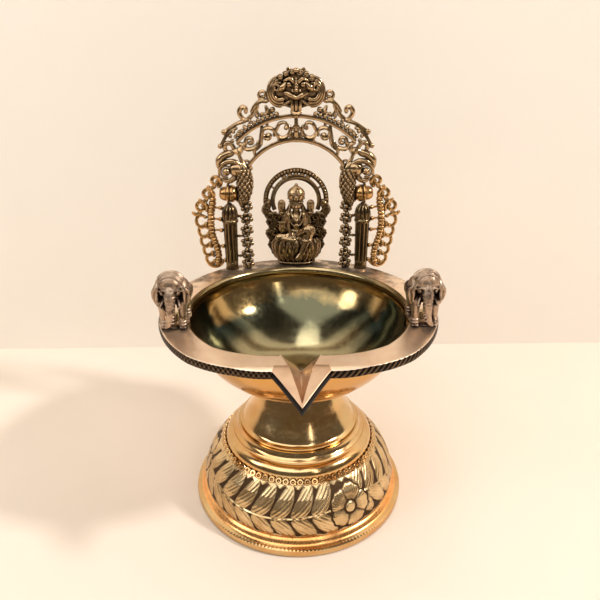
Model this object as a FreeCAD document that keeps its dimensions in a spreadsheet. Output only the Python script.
"""Brass standing oil lamp with an arched back, for FreeCAD.

Millimetres. +Z is up, the origin is the centre of the ring the foot stands on, the wick spout
points along -Y and the arch stands at the back, at +Y. Left means -X, right means +X.
"""
import FreeCAD
import Part
import Sketcher

import math
import os

Vector = FreeCAD.Vector
Rotation = FreeCAD.Rotation
Placement = FreeCAD.Placement

# Driving dimensions, in the order the lamp is built up from the table.
DIMENSIONS = {
    # foot bell
    "FootRadius": 47.3,
    "FootRollHeight": 3.6,
    "FootWall": 2.4,
    "GrooveRadius": 44.6,
    "BandLowRadius": 43.4,
    "BandLow": 6.2,
    "BandTopRadius": 35.2,
    "BandTop": 26.6,
    "BandBulge": 30.0,
    "ShoulderRadius": 31.9,
    "ShoulderMid": 31.0,
    "BellTop": 36.6,
    "BellTopRadius": 27.2,
    "BellBore": 20.0,
    # stem cone and the screwed joint under the bowl
    "ConeFootRadius": 25.8,
    "ConeTopRadius": 16.2,
    "ConeTop": 54.6,
    "ConeWaist": 60.0,
    "ConeWall": 2.4,
    "ConePlate": 3.2,
    "SpigotDepth": 2.6,
    "FitGap": 0.05,
    "WasherThick": 0.8,
    "StudRadius": 3.95,
    "StudLength": 12.0,
    "NutBore": 4.0,
    "StudClearance": 4.4,
    "NutFlats": 13.0,
    "NutHeight": 6.4,
    # bowl, rim and spout
    "BowlWall": 2.2,
    "BowlMouthRadius": 47.6,
    "BowlMidRadius": 40.6,
    "BowlMid": 73.6,
    "BowlArc": 46.0,
    "BowlLowArc": 62.0,
    "RimTop": 91.0,
    "RimThick": 3.3,
    "RimRadius": 57.5,
    "RimInnerRadius": 45.4,
    "RimCornerX": 41.0,
    "RimInnerCornerX": 31.5,
    "RimFront": 50.6,
    "RimInnerFront": 39.5,
    "RimFrontArc": 46.0,
    "RimInnerFrontArc": 40.0,
    "NotchHalf": 10.2,
    "GutterHalf": 7.2,
    "GutterDepth": 4.6,
    "NoseTip": 62.5,
    "NoseDepth": 5.6,
    "PegRadius": 1.3,
    "PegHeadRadius": 2.4,
    "PegHeadThick": 0.9,
    "PegRise": 4.0,
    # arch
    "ArchSetback": 45.6,
    "ArchDepth": 3.0,
    "PillarX": 31.2,
    "PillarFootRadius": 3.1,
    "PillarRadius": 3.4,
    "PillarTop": 114.5,
    "CapRadius": 3.9,
    "CapTop": 123.4,
    "FluteRadius": 0.7,
    "BellBallRadius": 3.9,
    "BellBallMid": 128.6,
    "HoopBand": 1.8,
    "LowerHoopRadius": 26.0,
    "LowerHoopMid": 125.9,
    "LowerHoopHalfSpan": 21.5,
    "UpperHoopRadius": 37.4,
    "UpperHoopMid": 124.8,
    "UpperHoopHalfSpan": 26.4,
    "WireRadius": 0.8,
    "GarlandX": 23.4,
    "GarlandBead": 1.15,
    "GarlandBase": 91.0,
    "GarlandTop": 122.6,
    "RibRadius": 1.65,
    "CrestMid": 171.6,
    # seated figure
    "SeatY": 52.0,
    "SeatRadius": 10.6,
    "SeatHeight": 13.0,
    "HaloRadius": 15.4,
    "HaloMid": 121.6,
    "HaloBand": 2.2,
    "HaloInnerRadius": 11.8,
    "HaloInnerBand": 1.3,
    "HaloThick": 2.0,
    # elephants
    "ElephantX": 48.6,
    "ElephantY": -13.0,
    "ElephantHeight": 23.0,
}


class Size:
    """A length: its value now, and the sheet expression that drives it."""

    def __init__(self, value, text):
        self.value = value
        self.text = text

    def join(self, other, sign):
        other = as_size(other)
        value = self.value + other.value if sign == "+" else self.value - other.value
        return Size(value, f"({self.text} {sign} {other.text})")

    def __add__(self, other):
        return self.join(other, "+")

    def __sub__(self, other):
        return self.join(other, "-")

    def __mul__(self, factor):
        return Size(self.value * factor, f"({self.text} * {factor})")

    def __neg__(self):
        return Size(-self.value, f"(-1 * {self.text})")


def as_size(length):
    """A plain number counts as a size too."""
    return length if isinstance(length, Size) else Size(float(length), repr(float(length)))


class Sheet:
    """The spreadsheet of driving dimensions; sheet.Alias gives a Size."""

    def __init__(self, doc):
        self.cells = doc.addObject("Spreadsheet::Sheet", "Sizes")
        for row, (alias, value) in enumerate(DIMENSIONS.items(), start=1):
            self.cells.set(f"A{row}", alias)
            self.cells.set(f"B{row}", str(value))
            self.cells.setAlias(f"B{row}", alias)
        doc.recompute()

    def __getattr__(self, alias):
        return Size(DIMENSIONS[alias], f"Sizes.{alias}")


doc = FreeCAD.newDocument("StandingOilLamp")
sheet = Sheet(doc)
nodes = []


# ---------------------------------------------------------------- sketch and body helpers

def new_body(label):
    body = doc.addObject("PartDesign::Body", "Body")
    body.Label = label
    nodes.append(body)
    return body


def place(obj, x=0.0, y=0.0, z=0.0, turn=None):
    """Put an object at a place that the sheet drives, turned by an optional rotation."""
    spots = [as_size(x), as_size(y), as_size(z)]
    obj.Placement = Placement(Vector(*[spot.value for spot in spots]), turn or Rotation())
    for axis, spot in zip("xyz", spots):
        obj.setExpression(f"Placement.Base.{axis}", spot.text)
    return obj


def new_sketch(body, plane, offset=None):
    """A sketch on one of the body's own origin planes, lifted off it by an optional size."""
    sketch = body.newObject("Sketcher::SketchObject", "Sketch")
    support = [f for f in body.Origin.OriginFeatures if f.Role == plane][0]
    sketch.AttachmentSupport = [(support, "")]
    sketch.MapMode = "FlatFace"
    if offset is not None:
        sketch.AttachmentOffset = Placement(Vector(0, 0, offset.value), Rotation())
        sketch.setExpression("AttachmentOffset.Base.z", offset.text)
    return sketch


def pin(sketch, geometry, end, u, v):
    """Hold one end of a sketch line or arc at the sizes u, v."""
    for kind, length in (("DistanceX", as_size(u)), ("DistanceY", as_size(v))):
        number = sketch.addConstraint(Sketcher.Constraint(kind, -1, 1, geometry, end, length.value))
        sketch.setExpression(f"Constraints[{number}]", length.text)


def arc_between(start, finish, radius):
    """The short arc from start to finish; a negative radius bends to the right of the way."""
    middle = (start + finish) * 0.5
    chord = finish - start
    reach = math.sqrt(max(radius * radius - chord.Length ** 2 / 4, 1e-9))
    side = Vector(-chord.y, chord.x, 0).normalize() * (reach if radius > 0 else -reach)
    centre = middle + side
    first = math.atan2(start.y - centre.y, start.x - centre.x)
    last = math.atan2(finish.y - centre.y, finish.x - centre.x)
    if radius < 0:
        first, last = last, first
    circle = Part.Circle(centre, Vector(0, 0, 1), abs(radius))
    return Part.ArcOfCircle(circle, first, last)


def outline(sketch, corners):
    """Close a ring of corners (u, v) or (u, v, radius of the arc that leads to the next)."""
    joints = []
    for here, there in zip(corners, corners[1:] + corners[:1]):
        start = Vector(as_size(here[0]).value, as_size(here[1]).value, 0)
        finish = Vector(as_size(there[0]).value, as_size(there[1]).value, 0)
        radius = as_size(here[2]) if len(here) > 2 else None
        if radius is None:
            shape = Part.LineSegment(start, finish)
        else:
            shape = arc_between(start, finish, radius.value)
        number = sketch.addGeometry(shape)
        flipped = radius is not None and radius.value < 0
        joints.append((number, 2 if flipped else 1, 1 if flipped else 2))
        if radius is not None:
            bend = sketch.addConstraint(Sketcher.Constraint("Radius", number, abs(radius.value)))
            sketch.setExpression(f"Constraints[{bend}]", (radius if radius.value > 0 else -radius).text)
    for corner, joint, after in zip(corners, joints, joints[1:] + joints[:1]):
        pin(sketch, joint[0], joint[1], corner[0], corner[1])
        sketch.addConstraint(Sketcher.Constraint("Coincident", joint[0], joint[2], after[0], after[1]))
    return sketch


def ring_hole(sketch, u, v, radius):
    """A full circle in a sketch, held at u, v."""
    u, v, radius = as_size(u), as_size(v), as_size(radius)
    circle = Part.Circle(Vector(u.value, v.value, 0), Vector(0, 0, 1), radius.value)
    number = sketch.addGeometry(circle)
    pin(sketch, number, 3, u, v)
    bend = sketch.addConstraint(Sketcher.Constraint("Radius", number, radius.value))
    sketch.setExpression(f"Constraints[{bend}]", radius.text)
    return sketch


def revolve(body, corners, kind="PartDesign::Revolution"):
    """Turn an (r, z) outline about the body's Z axis."""
    sketch = outline(new_sketch(body, "XZ_Plane"), corners)
    feature = body.newObject(kind, "Turned")
    feature.Profile = sketch
    feature.ReferenceAxis = (sketch, ["V_Axis"])
    feature.Angle = 360.0
    return feature


def pad(body, sketch, length, both_ways=False, down=False):
    feature = body.newObject("PartDesign::Pad", "Pad")
    feature.Profile = sketch
    feature.Length = length.value
    feature.setExpression("Length", length.text)
    feature.Reversed = down
    if both_ways:
        feature.SideType = "Symmetric"
    return feature


def cut_through(body, sketch):
    """Pocket a sketch right through the body and make sure that it took something away."""
    doc.recompute()
    before = body.Shape.Volume
    pocket = body.newObject("PartDesign::Pocket", "Pocket")
    pocket.Profile = sketch
    pocket.Type = "ThroughAll"
    pocket.SideType = "Symmetric"
    doc.recompute()
    assert body.Shape.Volume < before - 0.01, f"{body.Label}: the pocket cuts nothing"
    return pocket


def repeat(body, feature, count):
    """Repeat a feature around the body's Z axis."""
    pattern = body.newObject("PartDesign::PolarPattern", "Around")
    pattern.Originals = [feature]
    axis = [f for f in body.Origin.OriginFeatures if f.Role == "Z_Axis"][0]
    pattern.Axis = (axis, [""])
    pattern.Angle = 360.0
    pattern.Occurrences = count
    body.Tip = pattern
    return pattern


def loft(body, kind, sections):
    """An additive or subtractive loft through sketches."""
    feature = body.newObject(kind, "Loft")
    feature.Profile = sections[0]
    feature.Sections = sections[1:]
    feature.Ruled = True
    return feature


# ---------------------------------------------------------------- cast ornament helpers

def ball(centre, radius):
    """A solid ball."""
    shape = doc.addObject("Part::Sphere", "Ball")
    shape.Radius = radius
    shape.Placement = Placement(Vector(*centre), Rotation())
    return shape


def curl(centre, radius, start=0.0, sweep=360.0, thick=1.0):
    """A bent wire in the XZ plane: part of a torus, from an angle above +X, counted upwards."""
    shape = doc.addObject("Part::Torus", "Curl")
    shape.Radius1 = radius
    shape.setExpression("Radius2", (sheet.WireRadius * thick).text)
    shape.Angle3 = sweep
    about_y = Rotation(Vector(1, 0, 0), 90)
    shape.Placement = Placement(Vector(*centre), about_y.multiply(Rotation(Vector(0, 0, 1), start)))
    return shape


def rod(start, finish, low, high=None):
    """A round bar from start to finish, tapering from one radius to another."""
    start, finish = Vector(*start), Vector(*finish)
    high = low if high is None else high
    length = (finish - start).Length
    if abs(low - high) < 1e-6:
        shape = doc.addObject("Part::Cylinder", "Rod")
        shape.Radius = low
    else:
        shape = doc.addObject("Part::Cone", "Rod")
        shape.Radius1, shape.Radius2 = low, high
    shape.Height = length
    shape.Placement = Placement(start, Rotation(Vector(0, 0, 1), finish - start))
    return shape


def lump(start, finish, low, high=None):
    """A round bar with a ball at each end, for limbs and swollen forms."""
    high = low if high is None else high
    return [ball(start, low), rod(start, finish, low, high), ball(finish, high)]


def mirrored(piece):
    """Move a piece across the YZ plane; each piece is even about one axis of its own."""
    across, own = FreeCAD.Matrix(), FreeCAD.Matrix()
    across.A11 = -1
    if piece.TypeId == "Part::Torus":
        own.A33 = -1
    else:
        own.A11 = -1
    piece.Placement = Placement(across * piece.Placement.toMatrix() * own)
    return piece


def casting(label, pieces, x=0.0, y=0.0, z=0.0, side=1, turn=None):
    """Fuse the pieces of one casting; side -1 mirrors it in X."""
    fused = doc.addObject("Part::MultiFuse", "Casting")
    fused.Shapes = pieces if side > 0 else [mirrored(piece) for piece in pieces]
    fused.Label = label
    nodes.append(place(fused, x, y, z, turn))
    return fused


def side_name(side):
    return "left" if side < 0 else "right"


# ---------------------------------------------------------------- foot

def foot_bell():
    """The hollow bell: rolled edge, groove, chased band, shoulder and a bored top."""
    body = new_body("foot_bell")
    s = sheet
    wall = s.FootWall
    revolve(body, [
        (s.FootRadius - wall * 1.5, 0.0),
        (s.FootRadius - 0.9, 0.0, 1.9),
        (s.FootRadius - 0.9, s.FootRollHeight),
        (s.GrooveRadius, s.FootRollHeight + 0.5, -2.0),
        (s.BandLowRadius, s.BandLow, s.BandBulge),
        (s.BandTopRadius, s.BandTop),
        (s.BandTopRadius - 1.2, s.BandTop + 1.6),
        (s.ShoulderRadius - 0.5, s.BandTop + 1.8, 3.4),
        (s.ShoulderRadius - 1.6, s.ShoulderMid + 2.2),
        (s.BellTopRadius + 1.2, s.BellTop - 0.9, 1.4),
        (s.BellTopRadius, s.BellTop),
        (s.BellBore, s.BellTop),
        (s.BellBore, s.BellTop - wall * 1.3),
        (s.BellTopRadius - 0.4, s.BellTop - wall * 1.3),
        (s.ShoulderRadius - wall, s.ShoulderMid),
        (s.BandTopRadius - wall * 1.2, s.BandTop - 0.6, -s.BandBulge),
        (s.BandLowRadius - wall, s.BandLow),
    ])


def stem_cone():
    """The hollow cone that carries the bowl: a spigot below and a bored plate on top."""
    body = new_body("stem_cone")
    s = sheet
    spigot = s.BellBore - s.FitGap
    revolve(body, [
        (s.ConeFootRadius, s.BellTop, -s.ConeWaist),
        (s.ConeTopRadius, s.ConeTop - 0.8),
        (s.ConeTopRadius - 0.6, s.ConeTop),
        (s.StudClearance, s.ConeTop),
        (s.StudClearance, s.ConeTop - s.ConePlate),
        (s.ConeTopRadius - s.ConeWall * 1.3, s.ConeTop - s.ConePlate),
        (spigot - s.ConeWall, s.BellTop - s.SpigotDepth),
        (spigot, s.BellTop - s.SpigotDepth),
        (spigot, s.BellTop),
    ])


def captive_nut():
    """The hexagonal nut brazed under the cone's top plate."""
    body = new_body("captive_nut")
    s = sheet
    sketch = new_sketch(body, "XY_Plane")
    reach = s.NutFlats * (1 / math.sqrt(3))
    corners = []
    for step in range(6):
        angle = math.radians(60 * step)
        corners.append((reach * math.cos(angle), reach * math.sin(angle)))
    outline(sketch, corners)
    ring_hole(sketch, 0.0, 0.0, s.NutBore)
    pad(body, sketch, s.NutHeight)
    place(body, z=s.ConeTop - s.ConePlate - s.NutHeight)


def seat_washer():
    """The thin brass washer between cone and bowl."""
    body = new_body("seat_washer")
    s = sheet
    sketch = new_sketch(body, "XY_Plane")
    ring_hole(sketch, 0.0, 0.0, s.ConeTopRadius - 1.0)
    ring_hole(sketch, 0.0, 0.0, s.StudClearance)
    pad(body, sketch, s.WasherThick)
    place(body, z=s.ConeTop)


def stem_stud():
    """The threaded stud under the bowl, at its outer diameter, with a chamfered end."""
    body = new_body("stem_stud")
    s = sheet
    top = s.ConeTop + s.WasherThick
    revolve(body, [
        (0.0, top - s.StudLength),
        (s.StudRadius - 0.8, top - s.StudLength),
        (s.StudRadius, top - s.StudLength + 0.8),
        (s.StudRadius, top),
        (0.0, top),
    ])


# ---------------------------------------------------------------- bowl and rim

def rim_outline(radius, corner_x, front_y, front_half, front_arc):
    """One edge of the rim: a circle, pressed flatter at the front on both sides of the spout."""
    drop = math.sqrt(radius.value ** 2 - corner_x.value ** 2)
    corner_y = Size(-drop, f"(-1 * sqrt({radius.text} ^ 2 - {corner_x.text} ^ 2))")
    return [
        (front_half, -front_y, front_arc),
        (corner_x, corner_y, radius),
        (0.0, radius, radius),
        (-corner_x, corner_y, front_arc),
        (-front_half, -front_y),
    ]


def bowl_shell():
    """The round bowl with its flat rim, the wick spout and the holes for the rivets."""
    body = new_body("bowl_shell")
    s = sheet
    bottom = s.ConeTop + s.WasherThick
    under = s.RimTop - s.RimThick
    lip = under + 1.6
    wall = s.BowlWall
    revolve(body, [
        (0.0, bottom),
        (s.ConeTopRadius, bottom, s.BowlLowArc),
        (s.BowlMidRadius, s.BowlMid, s.BowlArc),
        (s.BowlMouthRadius, under + 0.4),
        (s.BowlMouthRadius, lip),
        (s.RimInnerRadius + 0.2, lip),
        (s.BowlMouthRadius - wall, under, -s.BowlArc),
        (s.BowlMidRadius - wall * 0.8, s.BowlMid + wall * 0.6, -s.BowlLowArc),
        (s.ConeTopRadius, bottom + wall * 1.3),
        (0.0, bottom + wall),
    ])
    plate = new_sketch(body, "XY_Plane", under)
    outline(plate, rim_outline(s.RimRadius, s.RimCornerX, s.RimFront, s.NotchHalf, s.RimFrontArc))
    outline(plate, rim_outline(s.RimInnerRadius, s.RimInnerCornerX, s.RimInnerFront,
                               s.GutterHalf, s.RimInnerFrontArc))
    pad(body, plate, s.RimThick)
    doc.recompute()
    nose_sections = []
    for reach, half, top, keel in (
            (s.RimInnerFront + 2.0, s.NotchHalf + 5.0, s.RimTop, s.NoseDepth + 1.8),
            (s.NoseTip, as_size(0.9), s.RimTop - 0.5, s.NoseDepth)):
        section = new_sketch(body, "XZ_Plane", reach)
        outline(section, [
            (-half, top),
            (-half, top - s.RimThick * 0.45),
            (half * -0.25, s.RimTop - keel),
            (half * 0.25, s.RimTop - keel),
            (half, top - s.RimThick * 0.45),
            (half, top),
        ])
        nose_sections.append(section)
    loft(body, "PartDesign::AdditiveLoft", nose_sections)
    doc.recompute()
    gutter_sections = []
    for reach, half, depth in (
            (s.RimInnerFront - 4.0, s.GutterHalf + 2.6, s.GutterDepth + 1.2),
            (s.NoseTip + 0.5, as_size(0.5), as_size(1.0))):
        section = new_sketch(body, "XZ_Plane", reach)
        outline(section, [
            (-half, s.RimTop + 0.6),
            (half * -0.12, s.RimTop - depth),
            (half * 0.12, s.RimTop - depth),
            (half, s.RimTop + 0.6),
        ])
        gutter_sections.append(section)
    loft(body, "PartDesign::SubtractiveLoft", gutter_sections)
    holes = new_sketch(body, "XY_Plane", s.RimTop)
    for x, y in peg_spots():
        ring_hole(holes, x, y, s.PegRadius)
    cut_through(body, holes)


def peg_spots():
    """Where rivets go through the rim: pillars, seat and elephants."""
    s = sheet
    return [
        (-s.PillarX, s.ArchSetback),
        (s.PillarX, s.ArchSetback),
        (as_size(0.0), s.SeatY),
        (-s.ElephantX, s.ElephantY),
        (s.ElephantX, s.ElephantY),
    ]


def rivet(label, spot):
    """A headed peg from under the rim up into the casting that stands on it."""
    body = new_body(label)
    s = sheet
    head = s.PegHeadRadius
    under = s.RimTop - s.RimThick
    shank = s.PegRadius
    revolve(body, [
        (0.0, under - s.PegHeadThick),
        (head - 0.5, under - s.PegHeadThick),
        (head, under),
        (shank, under),
        (shank, s.RimTop + s.PegRise),
        (0.0, s.RimTop + s.PegRise),
    ])
    place(body, spot[0], spot[1])


# ---------------------------------------------------------------- arch

def pillar(side):
    """A fluted round pillar with a ribbed onion cap; a blind hole takes its rivet."""
    body = new_body(f"pillar_{side_name(side)}")
    s = sheet
    socket = s.RimTop + s.PegRise
    revolve(body, [
        (s.PegRadius, s.RimTop),
        (s.PillarFootRadius, s.RimTop),
        (s.PillarFootRadius, s.RimTop + 5.0),
        (s.PillarRadius, s.RimTop + 5.6),
        (s.PillarRadius, s.PillarTop - 1.2),
        (s.CapRadius, s.PillarTop - 0.6),
        (s.CapRadius, s.PillarTop + 0.9),
        (s.PillarRadius, s.PillarTop + 1.4, 9.0),
        (0.9, s.CapTop - 0.8),
        (0.9, s.CapTop),
        (0.0, s.CapTop),
        (0.0, socket),
        (s.PegRadius, socket),
    ])
    doc.recompute()
    flute = new_sketch(body, "XY_Plane", s.RimTop + 6.4)
    ring_hole(flute, s.PillarRadius + 0.25, 0.0, s.FluteRadius)
    pocket = body.newObject("PartDesign::Pocket", "Flute")
    pocket.Profile = flute
    pocket.Length = 14.5
    pocket.Reversed = True
    repeat(body, pocket, 12)
    place(body, s.PillarX * side, s.ArchSetback)


def hoop(label, radius, middle, half_span):
    """A flat band bent to an arc, standing in the plane of the arch."""
    body = new_body(label)
    s = sheet
    inner = radius - s.HoopBand
    ends = []
    for arc in (radius, inner):
        reach = half_span * (arc.value / radius.value)
        rise = math.sqrt(arc.value ** 2 - reach.value ** 2)
        height = Size(rise, f"sqrt({arc.text} ^ 2 - {reach.text} ^ 2)")
        ends.append((reach, middle + height))
    sketch = new_sketch(body, "XZ_Plane")
    outline(sketch, [
        (ends[0][0], ends[0][1], radius),
        (-ends[0][0], ends[0][1]),
        (-ends[1][0], ends[1][1], -inner),
        (ends[1][0], ends[1][1]),
    ])
    pad(body, sketch, s.ArchDepth, both_ways=True)
    place(body, y=s.ArchSetback)


def hoop_scrollwork():
    """C-scrolls and a centre flower that fill the space between the two hoops."""
    scrolls = [
        # centre x and z from the upper hoop's centre line, radius, start, sweep
        (22.1, 150.4, 2.4, 60, 280),
        (17.3, 151.7, 2.4, -100, 290),
        (12.5, 155.3, 2.5, 20, 300),
        (12.7, 151.9, 1.5, 90, 270),
        (7.6, 156.1, 2.6, -150, 300),
        (7.4, 153.3, 1.2, 0, 270),
        (3.0, 156.1, 2.4, -60, 290),
    ]
    pieces = lump((0, 0, 154.5), (0, 0, 158.3), 1.4)
    for x, z, radius, start, sweep in scrolls:
        pieces.append(curl((x, 0, z), radius, start, sweep))
        pieces.append(curl((-x, 0, z), radius, 180 - start - sweep, sweep))
    for angle in range(-36, 37, 8):
        lean = math.radians(angle)
        low = Vector(27.0 * math.sin(lean) * 0.93, 0, 126.0 + 24.7 * math.cos(lean))
        high = Vector(36.1 * math.sin(lean), 0, 124.8 + 36.0 * math.cos(lean))
        pieces.append(rod(tuple(low), tuple(high), 0.65))
    casting("hoop_scrollwork", pieces, y=sheet.ArchSetback)


def bead_row():
    """The beaded wire that rides on the upper hoop, at its outer size, with a ball at each end."""
    middle = sheet.UpperHoopMid.value
    reach = sheet.UpperHoopRadius.value + 0.9
    half_angle = 42
    pieces = [curl((0, 0, middle), reach, 90 - half_angle, 2 * half_angle, 1.25)]
    for side in (-1, 1):
        lean = math.radians(half_angle * side)
        spot = (reach * math.sin(lean), 0, middle + reach * math.cos(lean))
        pieces.append(ball(spot, 1.3))
    casting("bead_row", pieces, y=sheet.ArchSetback)


def scroll_fringe(side):
    """The open tendrils above the upper hoop on one side, from its end to the crest."""
    curls = [
        (28.6, 158.0, 2.2, -60, 250),
        (31.6, 153.6, 2.2, -80, 250),
        (22.6, 163.2, 2.6, -120, 300),
        (23.0, 164.0, 1.2, 0, 300),
        (17.6, 166.0, 2.0, 30, 290),
        (13.6, 166.8, 1.7, -90, 300),
        (14.4, 171.6, 2.0, -120, 300),
        (18.4, 163.0, 1.5, 60, 280),
    ]
    pieces = [curl((x, 0, z), radius, start, sweep) for x, z, radius, start, sweep in curls]
    pieces.append(rod((33.6, 0, 149.6), (25.6, 0, 157.6), 0.8))
    pieces.append(rod((31.4, 0, 155.8), (20.6, 0, 161.4), 0.8))
    pieces.append(rod((20.6, 0, 161.0), (12.4, 0, 168.4), 0.9))
    pieces.append(rod((12.4, 0, 164.4), (12.8, 0, 170.6), 0.9))
    pieces.append(ball((12.6, 0, 165.4), 1.4))
    casting(f"scroll_fringe_{side_name(side)}", pieces, y=sheet.ArchSetback, side=side)


def crest():
    """The lion mask at the top: mane lumps, brows, eyes, nose, cheeks and whorled side manes."""
    middle = sheet.CrestMid.value
    pieces = [rod((-7.6, 0, middle - 0.6), (7.6, 0, middle - 0.6), 4.3)]
    pieces.append(ball((0, -0.6, middle + 2.6), 4.5))
    pieces.append(ball((0, -4.4, middle - 0.6), 1.8))
    pieces.append(ball((0, 0.2, middle + 7.2), 1.7))
    for side in (-1, 1):
        pieces.append(ball((2.7 * side, -3.8, middle + 2.4), 1.5))
        pieces += lump((1.5 * side, -4.0, middle + 4.4), (4.4 * side, -3.0, middle + 5.2), 0.9)
        pieces.append(ball((5.8 * side, -2.6, middle + 0.9), 1.9))
        pieces.append(ball((3.5 * side, 0.0, middle + 6.1), 1.8))
        pieces.append(ball((6.4 * side, 0.0, middle + 4.2), 2.0))
        pieces += lump((1.0 * side, -4.1, middle - 2.2), (4.8 * side, -2.9, middle - 3.7), 1.0)
        for ring in (2.0, 3.6):
            pieces.append(curl((8.2 * side, -0.6, middle - 1.2), ring, 0, 360, 0.95))
    casting("lion_crest", pieces, y=sheet.ArchSetback)


def crest_tongue():
    """Three bars that hang from the mask over the upper hoop."""
    pieces = lump((-2.0, -1.9, 167.4), (2.0, -1.9, 167.4), 1.3)
    for x in (-1.8, 0.0, 1.8):
        drop = 159.9 if x == 0.0 else 161.4
        pieces += lump((x, -2.6, 167.4), (x, -2.6, drop), 1.0)
    casting("crest_tongue", pieces, y=sheet.ArchSetback)


def bell_ball(side):
    """The round bell on top of a pillar cap."""
    body = new_body(f"bell_ball_{side_name(side)}")
    s = sheet
    radius = s.BellBallRadius
    low = s.CapTop
    high = s.BellBallMid + radius.value * 0.9
    revolve(body, [
        (0.0, low),
        (1.5, low),
        (1.5, low + 1.0),
        (radius * 0.62, s.BellBallMid - radius * 0.785, radius),
        (radius, s.BellBallMid, radius),
        (radius * 0.436, s.BellBallMid + radius * 0.9),
        (0.0, high),
    ])
    place(body, s.PillarX * side, s.ArchSetback)


def makara(side):
    """The beast at each end of the arch: scaled body, head, eye, brow and raised trunk."""
    pieces = lump((23.7, 0, 136.4), (23.2, 0, 125.8), 3.1, 2.3)
    pieces += lump((24.2, 0, 139.4), (29.2, 0, 138.6), 3.0, 2.8)
    pieces.append(ball((32.0, -1.0, 138.2), 2.3))
    pieces += lump((28.4, 0, 136.2), (31.0, 0, 135.0), 1.9)
    pieces.append(curl((29.0, -0.6, 138.6), 4.6, 10, 170, 1.3))
    pieces.append(curl((32.4, 0, 141.8), 3.0, -60, 190, 1.7))
    pieces.append(curl((29.6, 0, 147.4), 2.9, -190, 210, 1.6))
    pieces.append(rod((26.0, 0, 151.6), (23.6, 0, 142.0), 1.0))
    pieces += lump((24.0, 0, 140.4), (21.6, 0, 140.0), 1.9)
    pieces.append(rod((31.4, 0, 145.4), (33.2, 0, 143.6), 1.3))
    casting(f"makara_{side_name(side)}", pieces, y=sheet.ArchSetback, side=side)


def tail_curls(side):
    """The chain of curls that hangs outside the arch, big ones first."""
    curls = [
        (37.0, 133.4, 2.7),
        (41.2, 127.4, 2.7),
        (45.0, 121.4, 2.9),
        (45.7, 116.0, 1.9),
        (45.6, 112.0, 1.8),
        (44.6, 108.0, 1.8),
        (44.0, 104.0, 1.8),
        (43.4, 100.0, 1.8),
        (42.6, 96.2, 1.8),
        (41.6, 92.9, 1.6),
    ]
    pieces = [curl((x, 0, z), radius) for x, z, radius in curls]
    for near, far in zip(curls, curls[1:]):
        pieces.append(rod((near[0], 0, near[1] - near[2]), (far[0], 0, far[1] + far[2]), 0.9))
    pieces.append(rod((33.6, 0, 134.6), (35.2, 0, 133.8), 1.0))
    casting(f"tail_curls_{side_name(side)}", pieces, y=sheet.ArchSetback, side=side)


def ribbed_tail(side):
    """A caterpillar-like ribbed tail between the curls and the pillar."""
    route = [(39.0, 124.6), (39.9, 120.0), (40.2, 115.0), (40.0, 110.0), (39.2, 105.0),
             (38.2, 100.6), (37.8, 96.6), (38.8, 93.4)]
    pieces = []
    for near, far in zip(route, route[1:]):
        for part in range(2):
            x = near[0] + (far[0] - near[0]) * part / 2
            z = near[1] + (far[1] - near[1]) * part / 2
            pieces.append(ball((x, 0, z), sheet.RibRadius.value))
    pieces.append(rod((38.8, 0, 120.0), (34.6, 0, 118.4), 0.8))
    pieces.append(rod((38.6, 0, 110.0), (34.2, 0, 110.0), 0.8))
    pieces.append(rod((37.6, 0, 99.6), (33.9, 0, 99.6), 0.8))
    casting(f"ribbed_tail_{side_name(side)}", pieces, y=sheet.ArchSetback, side=side)


def garland(side):
    """Clusters of small beads strung down the inner side of a pillar."""
    s = sheet
    bead = s.GarlandBead.value
    x = s.GarlandX.value
    low, high = s.GarlandBase.value, s.GarlandTop.value
    pieces = [rod((x, 0, low), (x, 0, high), 0.9)]
    levels = 5
    for level in range(levels):
        z = low + 3.2 + level * (high - low - 3.0) / levels
        for step in range(6):
            angle = math.radians(60 * step + 30)
            spot = (x + 1.5 * math.cos(angle), -0.4, z + 1.5 * math.sin(angle) + 0.4)
            pieces.append(ball(spot, bead))
        pieces.append(rod((x, 0, z + 0.4), (s.PillarX.value - 2.9, 0, z + 0.4), 0.7))
    casting(f"garland_{side_name(side)}", pieces, y=s.ArchSetback, side=side)


# ---------------------------------------------------------------- seated figure

def lotus_seat():
    """The round lotus seat: a waisted drum with a ring of petals and a bored underside."""
    body = new_body("lotus_seat")
    s = sheet
    top = s.RimTop + s.SeatHeight
    socket = s.RimTop + s.PegRise
    revolve(body, [
        (s.PegRadius, s.RimTop),
        (s.SeatRadius * 0.46, s.RimTop, 9.0),
        (s.SeatRadius * 0.5, s.RimTop + s.SeatHeight * 0.5),
        (s.SeatRadius * 0.42, s.RimTop + s.SeatHeight * 0.62),
        (s.SeatRadius * 0.5, top),
        (0.0, top),
        (0.0, socket),
        (s.PegRadius, socket),
    ])
    place(body, y=s.SeatY)


def halo():
    """Two rings behind the figure's head, tied by a circle of small blocks."""
    body = new_body("halo")
    s = sheet
    rings = new_sketch(body, "XY_Plane")
    ring_hole(rings, 0.0, 0.0, s.HaloRadius)
    ring_hole(rings, 0.0, 0.0, s.HaloRadius - s.HaloBand)
    pad(body, rings, s.HaloThick, both_ways=True)
    inner = new_sketch(body, "XY_Plane")
    ring_hole(inner, 0.0, 0.0, s.HaloInnerRadius)
    ring_hole(inner, 0.0, 0.0, s.HaloInnerRadius - s.HaloInnerBand)
    tie = new_sketch(body, "XY_Plane")
    far = s.HaloRadius - s.HaloBand + 0.2
    near = s.HaloInnerRadius - 0.2
    outline(tie, [(near, -0.6), (far, -0.6), (far, 0.6), (near, 0.6)])
    block = pad(body, tie, s.HaloThick * 0.8, both_ways=True)
    repeat(body, block, 12)
    pad(body, inner, s.HaloThick * 0.9, both_ways=True)
    place(body, y=s.SeatY + 3.6, z=s.HaloMid, turn=Rotation(Vector(1, 0, 0), 90))


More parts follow.
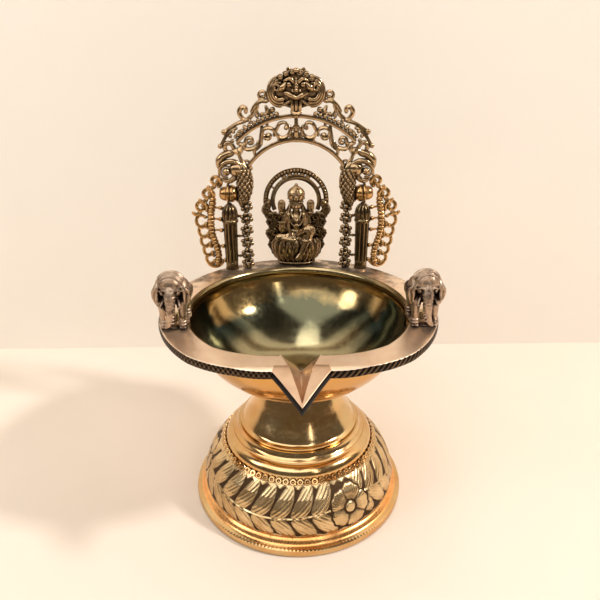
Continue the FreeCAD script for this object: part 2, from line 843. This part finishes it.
def seated_figure():
    """A four-armed seated figure with a tall crown; one leg folded, the other hanging."""
    seat_top = sheet.RimTop.value + sheet.SeatHeight.value
    # hips, chest, neck, head and crown
    pieces = lump((-2.9, 0, seat_top + 1.5), (2.8, 0, seat_top + 1.5), 2.9)
    pieces += lump((0, 0.1, seat_top + 4.1), (0, 0.2, seat_top + 10.2), 2.5, 3.1)
    pieces.append(rod((0, 0, seat_top + 10.9), (0, 0, seat_top + 15.7), 1.3))
    pieces += lump((0, -0.3, seat_top + 16.8), (0, -0.4, seat_top + 18.2), 2.4, 2.5)
    pieces.append(rod((0, 0, seat_top + 19.6), (0, 0, seat_top + 25.1), 2.6, 1.1))
    pieces.append(ball((0, 0, seat_top + 25.5), 1.4))
    # the folded leg, and the hanging leg with its foot
    pieces += lump((-2.1, -0.7, seat_top + 1.8), (-9.2, -1.7, seat_top + 1.2), 2.4, 2.3)
    pieces += lump((-9.3, -1.9, seat_top + 0.8), (-1.5, -3.2, seat_top + 0.4), 2.0, 1.5)
    pieces += lump((1.9, -0.8, seat_top + 1.8), (8.8, -1.9, seat_top + 1.6), 2.5, 2.4)
    pieces += lump((8.8, -2.3, seat_top + 1.1), (2.1, -3.5, seat_top - 6.6), 2.2, 1.5)
    pieces.append(ball((1.3, -4.0, seat_top - 7.1), 1.7))
    for side in (-1, 1):
        shoulder = (3.7 * side, 0.4, seat_top + 11.5)
        # the lower arm rests at the knee, the upper arm lifts a lotus
        low_elbow = (6.6 * side, -0.5, seat_top + 6.3)
        low_hand = (7.4 * side, -2.5, seat_top + 4.0)
        high_elbow = (7.5 * side, 1.2, seat_top + 9.5)
        high_hand = (7.9 * side, 0.4, seat_top + 14.5)
        lotus = (7.9 * side, 0.5, seat_top + 16.2)
        pieces += lump(shoulder, low_elbow, 1.6, 1.3)
        pieces += lump(low_elbow, low_hand, 1.1, 1.4)
        pieces += lump(shoulder, high_elbow, 1.4, 1.1)
        pieces += lump(high_elbow, high_hand, 1.2, 1.0)
        pieces.append(ball(lotus, 1.7))
    casting("seated_figure", pieces, y=sheet.SeatY)


def side_petals(side):
    """The knotted scroll that climbs from the seat to the halo on one side."""
    knots = [(11.4, 0.6, 97.2), (12.2, 0.6, 101.2), (12.6, 1.0, 105.4), (12.9, 1.6, 109.6),
             (13.8, 2.4, 113.6), (14.8, 3.0, 117.4)]
    pieces = [ball(knot, 2.3) for knot in knots]
    pieces.append(rod((4.4, 0.4, 93.8), (11.0, 0.6, 96.0), 1.9, 1.5))
    pieces.append(rod((4.4, 0.4, 102.0), (12.0, 0.6, 103.4), 1.7))
    casting(f"seat_scroll_{side_name(side)}", pieces, y=sheet.SeatY, side=side)


# ---------------------------------------------------------------- elephants

def elephant(side):
    """A small standing elephant that faces the front, with a socket for its rivet."""
    tall = sheet.ElephantHeight.value
    pieces = lump((0, 0.6, tall * 0.58), (0, 5.2, tall * 0.56), 5.3, 5.1)
    pieces += lump((0, -4.6, tall * 0.67), (0, -4.9, tall * 0.83), 4.1, 3.9)
    pieces += lump((0, -7.4, tall * 0.62), (0, -9.0, tall * 0.36), 1.9, 1.3)
    pieces += lump((0, -9.0, tall * 0.36), (0, -8.4, tall * 0.18), 1.2, 0.9)
    for flank in (-1, 1):
        ear_root = (4.2 * flank, -3.4, tall * 0.68)
        ear_edge = (6.3 * flank, -3.4, tall * 0.68)
        pieces.append(rod(ear_root, ear_edge, 4.8, 4.4))
        pieces.append(rod((1.9 * flank, -7.2, tall * 0.56), (2.5 * flank, -10.0, tall * 0.40), 0.8, 0.4))
        for reach in (-4.2, 6.4):
            pieces.append(rod((2.9 * flank, reach, 0), (2.9 * flank, reach, tall * 0.52), 2.1, 2.4))
    plinth = doc.addObject("Part::Box", "Plinth")
    plinth.Length, plinth.Width, plinth.Height = 9.6, 15.6, 1.0
    plinth.Placement = Placement(Vector(-4.8, -6.7, 0), Rotation())
    pieces.append(plinth)
    pieces.append(rod((0, 0, 0.4), (0, 0, 12.0), 2.6))
    body = doc.addObject("Part::MultiFuse", "ElephantCasting")
    body.Shapes = pieces
    socket = doc.addObject("Part::Cylinder", "Socket")
    socket.setExpression("Radius", sheet.PegRadius.text)
    socket.setExpression("Height", sheet.PegRise.text)
    whole = doc.addObject("Part::Cut", "Elephant")
    whole.Base = body
    whole.Tool = socket
    whole.Label = f"elephant_{side_name(side)}"
    place(whole, sheet.ElephantX * side, sheet.ElephantY, sheet.RimTop)
    nodes.append(whole)


# ---------------------------------------------------------------- the lamp

def build():
    foot_bell()
    stem_cone()
    captive_nut()
    seat_washer()
    stem_stud()
    bowl_shell()
    spots = peg_spots()
    for label, spot in zip(("pillar_rivet_left", "pillar_rivet_right", "seat_rivet",
                            "elephant_rivet_left", "elephant_rivet_right"), spots):
        rivet(label, spot)
    s = sheet
    hoop("lower_hoop", s.LowerHoopRadius, s.LowerHoopMid, s.LowerHoopHalfSpan)
    hoop("upper_hoop", s.UpperHoopRadius, s.UpperHoopMid, s.UpperHoopHalfSpan)
    hoop_scrollwork()
    bead_row()
    crest()
    crest_tongue()
    lotus_seat()
    halo()
    seated_figure()
    for side in (-1, 1):
        pillar(side)
        bell_ball(side)
        makara(side)
        scroll_fringe(side)
        tail_curls(side)
        ribbed_tail(side)
        garland(side)
        side_petals(side)
        elephant(side)


def check_and_write():
    """Stop on anything broken, then write one STEP file for each sub-part."""
    doc.recompute()
    faults = []
    for obj in doc.Objects:
        if "Invalid" in obj.State or "Error" in obj.State:
            faults.append(f"{obj.Label} ({obj.Name}) failed")
    for node in nodes:
        shape = node.Shape
        if shape.isNull() or not shape.isValid():
            faults.append(f"{node.Label}: no valid shape")
        elif len(shape.Solids) != 1 or shape.Volume <= 0:
            faults.append(f"{node.Label}: {len(shape.Solids)} solids, {shape.Volume:.1f} mm3")
    if faults:
        raise RuntimeError("; ".join(faults))
    os.makedirs("parts", exist_ok=True)
    for node in nodes:
        node.Shape.exportStep(os.path.join("parts", node.Label + ".step"))
        print(f"{node.Label:26s} {node.Shape.Volume:10.1f} mm3")


build()
check_and_write()
